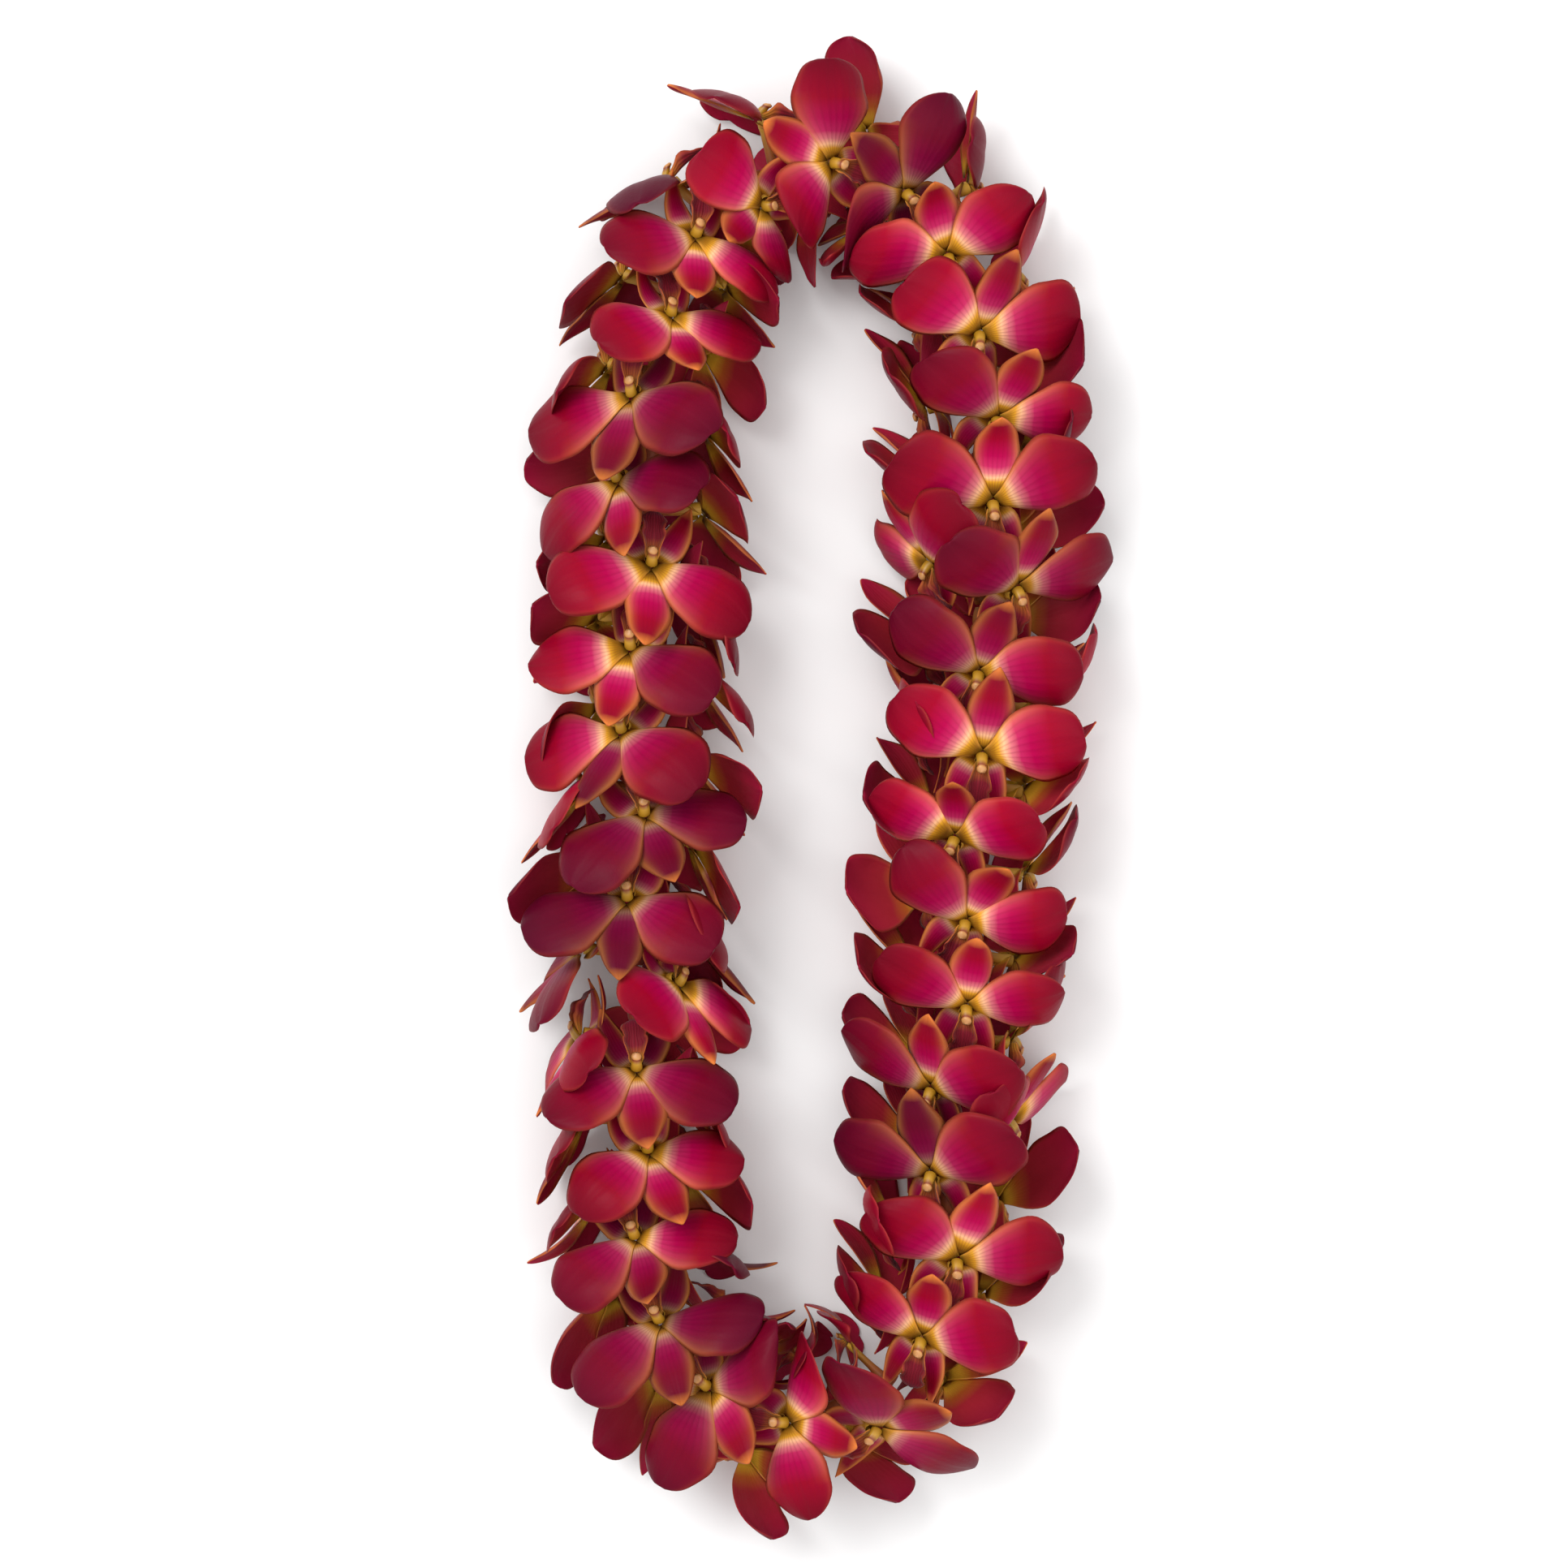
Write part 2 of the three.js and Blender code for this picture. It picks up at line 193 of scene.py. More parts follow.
class Place:
    """Where one bloom sits on the string and how it is turned round it."""

    def __init__(self, bloom):
        start = np.append(course.at(bloom / BLOOMS), 0)
        end = np.append(course.at((bloom + 1) / BLOOMS), 0)
        facing = end - start
        self.facing = facing / np.linalg.norm(facing)
        self.inward = np.cross(self.facing, UP)
        before = np.append(course.tangent(bloom / BLOOMS), 0)
        after = np.append(course.tangent((bloom + 1) / BLOOMS), 0)
        self.bend = float(np.dot(after - before, self.inward)) / course.pitch
        self.string_middle = (start + end) / 2
        self.middle = self.string_middle + self.facing * SHIFT_ALONG * draw(bloom, 1)
        turn = ROW_TURNS[bloom % len(ROW_TURNS)] + TURN * draw(bloom, 2)
        for waves, swing, phase in DRIFT:
            turn += swing * math.sin(2 * math.pi * waves * bloom / BLOOMS + phase)
        self.turn = math.radians(turn)
        self.size = 1 + SIZE * draw(bloom, 3)
        self.roll = math.radians(ROLL * draw(bloom, 4))
        self.nod = NOD * draw(bloom, 5)
        self.lean = LEAN * draw(bloom, 6)
        self.bloom = bloom

    def point(self, x, y, z):
        """Points of the blossom: x across its face, y to its dorsal sepal, z out of the face."""
        across = x * math.cos(self.roll) - y * math.sin(self.roll)
        along = x * math.sin(self.roll) + y * math.cos(self.roll)
        proud = z + self.nod * along + self.lean * across
        forward = -along * math.cos(FACE_SLOPE) + proud * math.sin(FACE_SLOPE)
        out = FACE_HEIGHT + along * math.sin(FACE_SLOPE) + proud * math.cos(FACE_SLOPE)
        return self.turned(forward, out, across)

    def turned(self, forward, out, side):
        """Points ahead of the bloom's middle, out from the string and aside, at the bloom's turn."""
        inside = out * math.cos(self.turn) - side * math.sin(self.turn)
        height = out * math.sin(self.turn) + side * math.cos(self.turn)
        return self.around(forward, inside, height)

    def around(self, forward, inside, height):
        """Points beside the bloom's middle, squeezed inside a bend and pressed up at the ground."""
        squeeze = 1 - np.maximum(0, self.bend * inside)
        pressed = np.where(height < 0, -PRESS * (1 - np.exp(np.minimum(height, 0) / PRESS)), height)
        pressed = np.maximum(pressed, GROUND)
        return (self.middle + self.facing * (forward * squeeze)[..., None]
                + self.inward * inside[..., None] + UP * pressed[..., None])


class Body:
    """Points, faces and painted values of one piece under way."""

    def __init__(self):
        self.points, self.faces, self.leaf, self.tone, self.slots = [], [], [], [], []
        self.count = 0

    def numbers(self, rows, columns):
        """The numbers of a grid of points that is added next."""
        return np.arange(rows * columns).reshape(rows, columns) + self.count

    def add_points(self, points, leaf, tone):
        flat = points.reshape(-1, 3)
        self.points.append(flat)
        self.leaf.append(np.broadcast_to(leaf, points.shape).reshape(-1, 3))
        self.tone.append(np.full(len(flat), tone))
        self.count += len(flat)

    def add_quads(self, numbers, slot, closed=False, flipped=False):
        """Quads between a grid of points. A closed grid's last column is joined to its first."""
        after = np.roll(numbers, -1, axis=1)
        a, b, c, d = numbers[:-1], after[:-1], after[1:], numbers[1:]
        if not closed:
            a, b, c, d = (part[:, :-1] for part in (a, b, c, d))
        quads = np.stack([d, c, b, a] if flipped else [a, b, c, d], axis=-1).reshape(-1, 4)
        self.faces.append(quads)
        self.slots.append(np.full(len(quads), slot))

    def tube(self, points, leaf, tone, slot, flipped=False, looped=False):
        """Rings of points joined to a tube. A looped tube's last ring is joined to its first."""
        numbers = self.numbers(*points.shape[:2])
        if looped:
            numbers = np.vstack([numbers, numbers[:1]])
        self.add_points(points, leaf, tone)
        self.add_quads(numbers, slot, closed=True, flipped=flipped)

    def shell(self, middle, thickness, along, across, tone, slot):
        """A thin blade: a front and a back that share their outline."""
        along = along * np.ones_like(across)
        inner = np.ones(across.shape, bool)
        inner[0, :] = inner[-1, :] = inner[:, 0] = inner[:, -1] = False
        lift = normals(middle) * np.where(inner, thickness / 2, 0)[..., None]
        front = self.numbers(*across.shape)
        self.add_points(middle + lift, painted(along, across, np.where(inner, 1.0, RIM_FRONT)), tone)
        back = front.copy()
        back[inner] = np.arange(inner.sum()) + self.count
        self.add_points((middle - lift)[inner], painted(along, across, 0.0)[inner], tone)
        self.add_quads(front, slot, flipped=True)
        self.add_quads(back, slot)

    def piece(self, name, materials):
        """The mesh object, in the frame."""
        points = (np.concatenate(self.points) + OFFSET) / MM
        points[:, 2] = np.maximum(points[:, 2], 0)
        faces = np.concatenate(self.faces)
        mesh = bpy.data.meshes.new(name)
        mesh.from_pydata(points.tolist(), [], faces.tolist())
        mesh.polygons.foreach_set("material_index", np.concatenate(self.slots).astype(np.int32))
        mesh.polygons.foreach_set("use_smooth", np.ones(len(faces), bool))
        leaf = mesh.attributes.new("leaf", "FLOAT_VECTOR", "POINT")
        leaf.data.foreach_set("vector", np.concatenate(self.leaf).ravel().astype(np.float32))
        tone = mesh.attributes.new("tone", "FLOAT", "POINT")
        tone.data.foreach_set("value", np.concatenate(self.tone).astype(np.float32))
        for material in materials:
            mesh.materials.append(material)
        mesh.update()
        if mesh.validate():
            raise RuntimeError(f"{name} has faces that can't be used")
        piece = bpy.data.objects.new(name, mesh)
        bpy.context.scene.collection.objects.link(piece)
        return piece


def painted(along, across, front=1.0):
    """The leaf values of points: how far along and across they lie, and how much on the front."""
    return np.stack(np.broadcast_arrays(along, across, front), axis=-1)


def normals(points):
    """Unit normals of a grid of points."""
    down = np.gradient(points, axis=0)
    right = np.gradient(points, axis=1)
    normal = np.cross(down, right)
    size = np.linalg.norm(normal, axis=-1, keepdims=True)
    return normal / np.maximum(size, 1e-6)


def grid(rows, columns):
    """The shares along a blade, row by row, and its points' places across it, from -1 to 1."""
    share = np.linspace(0, 1, rows)[:, None]
    across = np.linspace(-1, 1, columns)[None, :] * np.ones((rows, 1))
    return share, across


def ring(columns):
    """The angles of a ring of points."""
    return (np.arange(columns) / columns * 2 * np.pi)[None, :]


def bell(value, centre, width):
    """1 at the centre, falling smoothly to 0 on both sides."""
    return np.exp(-((value - centre) / width) ** 2)


def outline(share, half, root, peak, point):
    """A blade's half width: it widens from its root to its peak and closes round or pointed."""
    rising = root + (half - root) * np.sin(np.pi / 2 * np.clip(share / peak, 0, 1)) ** WIDENING
    falling = half * (1 - np.clip((share - peak) / (1 - peak), 0, 1) ** CLOSING) ** point
    return np.where(share < peak, rising, np.maximum(falling, TIP_HALF))


def through(share, values):
    """A smooth curve through three values, at the root, half way and at the tip."""
    first, second, third = values
    return (first * 2 * (share - 0.5) * (share - 1) - second * 4 * share * (share - 1)
            + third * 2 * share * (share - 0.5))


# What a blade's nine draws let wander.
Wander = namedtuple("Wander", "ripple tone peak stray twist curl length width fold")


def add_blade(body, place, shape, hand, purpose):
    """One tepal, as a thin cupped blade with a soft wave in it.

    Hand is 1 or -1, for its side of the face, and purpose is the number of its first draw.
    """
    steps, across = grid(*shape["grid"])
    share = 1 - (1 - steps) ** TIPWARD
    wander = Wander(*(draw(place.bloom, purpose + k) for k in range(100, 1000, 100)))
    length = shape["reach"] * (1 + 0.03 * wander.length)
    reach = (BLADE_START + (length - BLADE_START) * share) * place.size
    sway = SWAY * share * draw(place.bloom, purpose)
    angle = np.radians(hand * through(share, shape["angle"]) + sway)
    widest = shape["half"] * (1 + 0.06 * wander.width)
    peak = shape["peak"] + 0.05 * wander.peak
    point = shape["point"] + 0.08 * wander.twist
    half = outline(share, widest, shape["root"], peak, point) * place.size
    folded = fold_depth(share, across, wander.fold)
    ragged = 0.05 * np.sin(9 * share + 3 * wander.ripple) + 0.03 * np.sin(17 * share + 4 * wander.stray)
    aside = across * half * (1 + np.sign(across) * ragged * share) * (1 - 0.16 * folded)
    # Where a blade narrows to its tip it has no depth across, so that it closes in one point.
    breadth = np.where(share < shape["peak"], 1, np.sqrt(half / half.max()))
    lift = LIFT * share * draw(place.bloom, purpose + 1)
    depth = blade_depth(shape, share, across, folded, wander)
    rise = blade_line(shape, share, wander) + lift + breadth * depth
    x = np.sin(angle) * reach - np.cos(angle) * aside
    y = np.cos(angle) * reach + np.sin(angle) * aside
    thickness = MARGIN_THICKNESS + MIDDLE_THICKNESS * (1 - across ** 2) * (1 - 0.5 * share)
    tone = 0.5 + 0.25 * draw(place.bloom, 40) + 0.25 * wander.tone
    body.shell(place.point(x, y, rise), thickness, share, across, tone, shape["slot"])


def fold_depth(share, across, fold):
    """How far one margin of a blade is folded over, from 0 to 1. The draw's sign says which margin."""
    beyond = np.clip(across * math.copysign(1, fold) - FOLD_FROM, 0, 1) / (1 - FOLD_FROM)
    strength = max(0, abs(fold) - UNFOLDED) / (1 - UNFOLDED)
    return strength * beyond ** 2 * np.sin(np.pi * np.minimum(1, share * 1.05))


def blade_line(shape, share, wander):
    """How high a blade's middle stands over the face, with the curl of its tip and its straying."""
    curl = shape["curl"] * (0.5 + 1.1 * wander.curl) * np.clip(share - CURL_FROM, 0, 1) ** 2 / 0.144
    stray = shape["stray"] * max(0, wander.stray - 0.2) * np.clip(share - STRAY_FROM, 0, 1) ** 2 / 0.29
    return through(share, shape["rise"]) - curl + stray


def blade_depth(shape, share, across, folded, wander):
    """How far a blade stands off its middle line: cup, keel, waves, twist and folded margin."""
    cup = through(share, shape["cup"]) * across ** 2
    keel = shape["keel"] * bell(across, 0, 0.16) * share
    ripple = np.sin(5.5 * share + 3 * wander.ripple) * across * (0.5 + 0.5 * abs(wander.tone))
    flute = np.sin(11 * share + 4 * wander.peak + 1.6 * across) * across ** 4
    swell = np.sin(2.6 * across + 3 * wander.stray) * np.sin(3.3 * share + 3 * wander.twist)
    waves = share * (shape["wave"] * (0.8 * ripple + 0.55 * flute) + 0.5 * swell)
    twist = shape["twist"] * wander.twist * across * share ** 2
    return waves + twist - cup - keel - shape["fold"] * folded


def add_lip(body, place):
    """The lip: side lobes that rise round the column, and a folded middle lobe with a frill."""
    share, across = grid(17, 15)
    lift, frill, tone = (draw(place.bloom, purpose) for purpose in (800, 801, 802))
    reach = (LIP_START + LIP_LENGTH * share) * place.size
    waist = 1 - 0.3 * bell(share, 0.58, 0.1)
    half = outline(share, half=6.0, root=2.2, peak=0.42, point=0.6) * waist
    edge = np.interp(share, [0, 0.25, 0.5, 0.75, 1], [1.6, 5.2, 3.6, 0.4, -0.6])
    middle_line = np.interp(share, [0, 0.3, 0.6, 0.8, 1], [-0.6, 2.0, 4.4, 5.4, 4.4])
    callus = 0.7 * bell(across, 0, 0.22) * bell(share, 0.4, 0.25)
    frilled = 0.5 * np.sin(16 * share + 3 * frill) * across ** 4
    rise = middle_line + 0.8 * lift * share + edge * across ** 2 + frilled + callus
    # The side lobes stand up steeply, so they reach less far aside.
    aside = across * half * (1 - 0.25 * (edge > 3) * abs(across))
    thickness = 0.3 + 0.6 * (1 - across ** 2)
    body.shell(place.point(aside, -reach, rise), thickness, share, across, 0.5 + 0.5 * tone, LIP)


def add_column(body, place):
    """The column, which nods over the lip and ends in its cap."""
    share, turn = np.linspace(0, 1, 12)[:, None], ring(12)
    radius = np.interp(share, [0, 0.55, 0.72, 0.8, 0.93, 1], [2.2, 1.8, 1.6, 1.9, 1.5, 0.15])
    x = radius * np.cos(turn)
    y = -0.2 - 2.6 * share ** 2 + 0.85 * radius * np.sin(turn)
    z = -0.4 + 6.0 * share
    tone = 0.5 + 0.5 * draw(place.bloom, 41)
    body.tube(place.point(x, y, z), painted(share, np.cos(turn)), tone, COLUMN, flipped=True)


def add_stalk(body, place):
    """The stalk that carries the blossom's face, from the neck up to where the tepals grow."""
    share, turn = np.linspace(0, 1, 9)[:, None], ring(12)
    foot, top = NECK_RADIUS / 2, FACE_HEIGHT - 2
    radius = np.interp(share, [0, 0.3, 0.75, 0.92, 1], [2.2, 1.7, 1.9, 2.5, 2.3])
    forward = 1.4 * share ** 2 + radius * np.sin(turn)
    out = foot + (top - foot) * share - 0.4 * share * np.sin(turn)
    tone = 0.5 + 0.5 * draw(place.bloom, 42)
    points = place.turned(forward, out, radius * np.cos(turn))
    body.tube(points, painted(share, np.cos(turn)), tone, NECK)


def add_neck(body, place):
    """The throat tube that the string runs through, open at both ends."""
    turn = ring(14)
    outer_rows = 8
    half = course.pitch / 2 - NECK_GAP / 2
    outer = np.interp(np.linspace(0, 1, outer_rows), [0, 0.15, 0.5, 0.85, 1], [2.2, 2.7, 3.2, 2.8, 2.3])
    bore = [1.9, 1.3, 1.15, 1.15, 1.3, 2.0]
    back_again = [half + 0.1, half, 2, -2, -half, -half - 0.1]
    radius = np.concatenate([outer, bore])[:, None]
    forward = np.concatenate([np.linspace(-half, half, outer_rows), back_again])[:, None]
    ribs = 1 + 0.03 * np.cos(6 * turn)
    # The neck keeps its own place on the string, whatever the blossom's shift.
    forward = forward - np.dot(place.middle - place.string_middle, place.facing)
    points = place.around(forward, radius * ribs * np.cos(turn), radius * ribs * np.sin(turn))
    share = np.linspace(0, 0.3, len(radius))[:, None]
    tone = 0.5 + 0.5 * draw(place.bloom, 42)
    body.tube(points, painted(share, np.cos(turn)), tone, NECK, looped=True)


def add_cord(body, centre, radius, columns, looped):
    """A round cord along a line of points. The ends of one that isn't looped are tapered."""
    ahead = np.roll(centre, -1, axis=0) - np.roll(centre, 1, axis=0)
    taper = np.ones(len(centre))
    if not looped:
        ahead[0], ahead[-1] = centre[1] - centre[0], centre[-1] - centre[-2]
        taper[0] = taper[-1] = 0.35
    ahead = ahead / np.linalg.norm(ahead, axis=1, keepdims=True)
    # A little off straight up, so that a stretch that runs straight up has a side too.
    side = np.cross(ahead, UP + 1e-3)
    side = side / np.linalg.norm(side, axis=1, keepdims=True)
    top = np.cross(side, ahead)
    turn = ring(columns)[..., None]
    circle = side[:, None, :] * np.cos(turn) + top[:, None, :] * np.sin(turn)
    points = centre[:, None, :] + circle * (radius * taper)[:, None, None]
    body.tube(points, (0.0, 0.0, 0.0), 0.5, COTTON, looped=looped)


def add_plies(body, ply, twist):
    """Three plies, each of the given radius, that wind round the course together."""
    points_a_turn, columns = 5, 6
    lay = STRING_RADIUS - ply
    turns = round(course.length / twist)
    rows = turns * points_a_turn
    parts = np.arange(rows) / rows
    middle = np.array([np.append(course.at(part), 0) for part in parts])
    facing = np.array([np.append(course.tangent(part), 0) for part in parts])
    side = np.cross(facing, UP)
    for k in range(3):
        phase = 2 * np.pi * (turns * parts + k / 3)
        centre = middle + lay * (side * np.cos(phase)[:, None] + UP * np.sin(phase)[:, None])
        add_cord(body, centre, ply, columns, looped=True)


def add_knot(body):
    """A small knot at the course's start, with two short cut tails."""
    columns = 8
    start = np.append(course.at(0), 0)
    facing = np.append(course.tangent(0), 0)
    side = np.cross(facing, UP)
    turn = np.linspace(0, 2 * np.pi, 40, endpoint=False)
    along = 0.55 * np.sin(3 * turn)
    radius = 0.85 + 0.25 * np.cos(3 * turn)
    loop = side * (radius * np.cos(2 * turn))[:, None] + UP * (radius * np.sin(2 * turn))[:, None]
    add_cord(body, start + facing * along[:, None] + loop, KNOT_CORD, columns, looped=True)
    share = np.linspace(0.05, 1, 9)[:, None]
    for azimuth, droop in ((150, 1.2), (280, 0)):
        angle = math.radians(azimuth)
        radial = side * math.cos(angle) + UP * math.sin(angle)
        tail = start + share * (TAIL_OUT * radial - TAIL_BACK * facing) - droop * share ** 2 * UP
        add_cord(body, tail, TAIL_CORD, columns, looped=False)


class Value:
    """A shader socket that takes part in Python expressions."""

    def __init__(self, shader, socket):
        self.shader = shader
        self.socket = socket

    def math(self, operation, other, swapped=False):
        first, second = (other, self) if swapped else (self, other)
        return self.shader.node("ShaderNodeMath", {"operation": operation}, {0: first, 1: second})

    def __add__(self, other):
        return self.math("ADD", other)

    def __radd__(self, other):
        return self.math("ADD", other, True)

    def __sub__(self, other):
        return self.math("SUBTRACT", other)

    def __rsub__(self, other):
        return self.math("SUBTRACT", other, True)

    def __mul__(self, other):
        return self.math("MULTIPLY", other)

    def __rmul__(self, other):
        return self.math("MULTIPLY", other, True)

    def __truediv__(self, other):
        return self.math("DIVIDE", other)

    def __rtruediv__(self, other):
        return self.math("DIVIDE", other, True)

    def __pow__(self, other):
        return self.math("POWER", other)

    def __rpow__(self, other):
        return self.math("POWER", other, True)

    def absolute(self):
        return self.math("ABSOLUTE", 0)

    def sine(self):
        return self.math("SINE", 0)

    def clamped(self):
        return self.math("MAXIMUM", 0).math("MINIMUM", 1)


class Shader:
    """A material's nodes, ending in one Principled surface."""

    # The parts of the leaf values that are painted on the meshes.
    LEAF = ("along", "across", "front")

    def __init__(self, name):
        self.material = bpy.data.materials.new(name)
        self.material.use_nodes = True
        self.tree = self.material.node_tree
        self.surface = self.tree.nodes["Principled BSDF"]

    def node(self, kind, settings=None, sockets=None, output=0):
        """Adds a node with its settings, then its socket values or links, and returns an output."""
        node = self.tree.nodes.new(kind)
        for key, value in (settings or {}).items():
            if key == "stops":
                self.set_stops(node.color_ramp, value)
            else:
                setattr(node, key, value)
        for key, value in (sockets or {}).items():
            self.feed(node.inputs[key], value)
        return Value(self, node.outputs[output])

    @staticmethod
    def set_stops(ramp, stops):
        while len(ramp.elements) < len(stops):
            ramp.elements.new(0.5)
        for element, (position, color) in zip(ramp.elements, stops):
            element.position = position
            element.color = (*color, 1)

    def feed(self, socket, value):
        """Links a value to a socket, or sets the socket to a number, a vector or a colour."""
        if isinstance(value, Value):
            self.tree.links.new(value.socket, socket)
        elif socket.type == "RGBA":
            socket.default_value = (*value, 1)
        else:
            socket.default_value = value

    def ramp(self, factor, stops):
        return self.node("ShaderNodeValToRGB", {"stops": stops}, {"Fac": factor})

    def mix(self, factor, first, second, blend="MIX"):
        """A mix of two colours, whose sockets are the node's numbers 6 and 7 and its output 2."""
        settings = {"data_type": "RGBA", "blend_type": blend}
        return self.node("ShaderNodeMix", settings, {0: factor, 6: first, 7: second}, 2)

    def tint(self, color, mask, code):
        """Lays the colour with this code over another, where the mask says."""
        return self.mix(mask, color, linear(code))

    def scaled(self, color, factor):
        """A colour made darker or brighter."""
        grey = self.node("ShaderNodeCombineColor", None, {0: factor, 1: factor, 2: factor})
        return self.mix(1.0, color, grey, "MULTIPLY")

    def noise(self, scale, detail):
        place = self.node("ShaderNodeTexCoord", output="Object")
        return self.node("ShaderNodeTexNoise", None, {"Vector": place, "Scale": scale, "Detail": detail})

    def bump(self, height, distance, strength):
        sockets = {"Height": height, "Distance": distance, "Strength": strength}
        return self.node("ShaderNodeBump", None, sockets)

    def leaf(self, part):
        """How far along or across a blade a point lies, or how much it is on the front."""
        leaf = self.node("ShaderNodeAttribute", {"attribute_name": "leaf"}, output="Vector")
        return self.node("ShaderNodeSeparateXYZ", None, {0: leaf}, self.LEAF.index(part))

    def tone(self):
        """How light a blade or a bloom is, from 0 to 1."""
        return self.node("ShaderNodeAttribute", {"attribute_name": "tone"}, output="Fac")

    def finish(self, constants, **varying):
        for name, value in {**constants, **varying}.items():
            self.feed(self.surface.inputs[name.replace("_", " ")], value)
        return self.material


def blade_finish(name, settings, shift, rim, gilded, tip, dusk):
    """Satin blades: gold and cream at the root and along the rim, magenta, then deep crimson.

    The colours are shifted towards the root by shift. The rim is as golden as rim says, up to the
    gilded share of the length, and the tip as golden as tip says. Dusk darkens the front.
    """
    shader = Shader(name)
    along, across, front = (shader.leaf(part) for part in Shader.LEAF)
    tone = shader.tone()
    blotch = shader.noise(55, 3)
    fine = shader.noise(900, 3)
    margin = across.absolute()
    veins = (across * (40 - 14 * along) + 4 * blotch).sine()
    flow = along + shift + 0.14 * (blotch - 0.5) - 0.16 * (tone - 0.5)
    face = shader.ramp(flow, [
        (0.0, linear("5c3c0a")), (0.07, linear("986814")), (0.115, settings.root),
        (0.165, settings.cream), (0.225, linear("c86a72")), (0.3, linear("ae2454")),
        (0.42, settings.flush), (0.63, settings.flesh), (1.0, settings.deep),
    ])
    veined = (veins * 0.5 + 0.5) ** 3 * (1 - along) * 0.34
    dull = (0.5 - tone) * 1.3
    near_root = (1 - (along + shift) / gilded).clamped()
    face = shader.tint(face, veined.clamped(), "6a0226")
    face = shader.tint(face, dull.clamped(), "580a2e")
    face = shader.tint(face, dusk, "4a0a10")
    face = shader.tint(face, (margin ** 5 * near_root * rim).clamped(), "dfa040")
    face = shader.tint(face, (margin ** 16 * 0.6 * rim).clamped(), "b4502a")
    face = shader.tint(face, ((along - 0.86) * 9).clamped() * tip, "cc7434")
    back = shader.ramp(flow, [
        (0.0, linear("9c7818")), (0.13, linear("ba8826")), (0.24, linear("a04e20")),
        (0.38, linear("92202a")), (1.0, linear("901434")),
    ])
    light = tone + 0.6 * (blotch - 0.5)
    color = shader.scaled(shader.mix(front.clamped(), back, face), 0.62 + 0.68 * light.clamped())
    bump = shader.bump(0.6 * veins * (1 - 0.6 * along) + 1.6 * fine, 0.00012, 0.3)
    constants = {
        "Subsurface Weight": 0.05, "Subsurface Radius": (0.004, 0.001, 0.001), "Subsurface Scale": 0.5,
        "Specular IOR Level": 0.06,
    }
    return shader.finish(constants, Base_Color=color, Roughness=0.36 + 0.12 * fine, Normal=bump)


def lip_finish():
    """A velvety dark maroon lip with gold in its throat."""
    shader = Shader("lip")
    along, across = shader.leaf("along"), shader.leaf("across")
    blotch = shader.noise(140, 3)
    veins = (across * 30).sine()
    color = shader.ramp(along + 0.2 * (blotch - 0.5), [
        (0.0, linear("cf9a2e")), (0.2, linear("a3551f")), (0.38, linear("7c1426")),
        (0.75, linear("700a1e")), (1.0, linear("8a1236")),
    ])
    color = shader.tint(color, (veins * 0.5 + 0.5) * 0.4, "4c0614")
    color = shader.tint(color, across.absolute() ** 9 * 0.7, "b9542f")
    bump = shader.bump(veins + blotch, 0.0002, 0.4)
    constants = {"Sheen Weight": 0.1, "Sheen Roughness": 0.5, "Specular IOR Level": 0.15}
    return shader.finish(constants, Base_Color=color, Roughness=0.5 + 0.2 * blotch, Normal=bump)


def column_finish():
    """A waxy gold column with a pale cap."""
    shader = Shader("column")
    blotch = shader.noise(300, 2)
    color = shader.ramp(shader.leaf("along") + 0.1 * (blotch - 0.5), [
        (0.0, linear("946812")), (0.5, linear("b08420")), (0.74, linear("782a18")),
        (0.84, linear("bc8444")), (1.0, linear("c08a5c")),
    ])
    constants = {
        "Subsurface Weight": 0.1, "Subsurface Radius": (0.003, 0.002, 0.001), "Subsurface Scale": 0.5,
    }
    return shader.finish(constants, Base_Color=color, Roughness=0.34 + 0.15 * blotch)


def neck_finish():
    """Olive gold throats and stalks, flushed with maroon."""
    shader = Shader("neck")
    blotch = shader.noise(160, 3)
    color = shader.ramp(shader.leaf("along") + 0.35 * (blotch - 0.5), [
        (0.0, linear("7a2a1c")), (0.3, linear("94481e")), (0.6, linear("ac7424")), (0.9, linear("d2a032")),
    ])
    color = shader.tint(color, shader.tone() * 0.5, "8d6a22")
    bump = shader.bump(blotch, 0.0003, 0.3)
    constants = {"Specular IOR Level": 0.4}
    return shader.finish(constants, Base_Color=color, Roughness=0.45 + 0.2 * blotch, Normal=bump)


def string_finish(settings):
    """Matt cotton with fine fibres."""
    shader = Shader("cotton")
    fibres = shader.noise(2500, 3)
    dust = shader.noise(80, 2)
    color = shader.mix(0.5 * fibres + 0.3 * dust, settings.color, linear("b9a888"))
    bump = shader.bump(fibres, 0.0001, 0.6)
    constants = {"Sheen Weight": 0.3}
    return shader.finish(constants, Base_Color=color, Roughness=0.85 + 0.1 * fibres, Normal=bump)


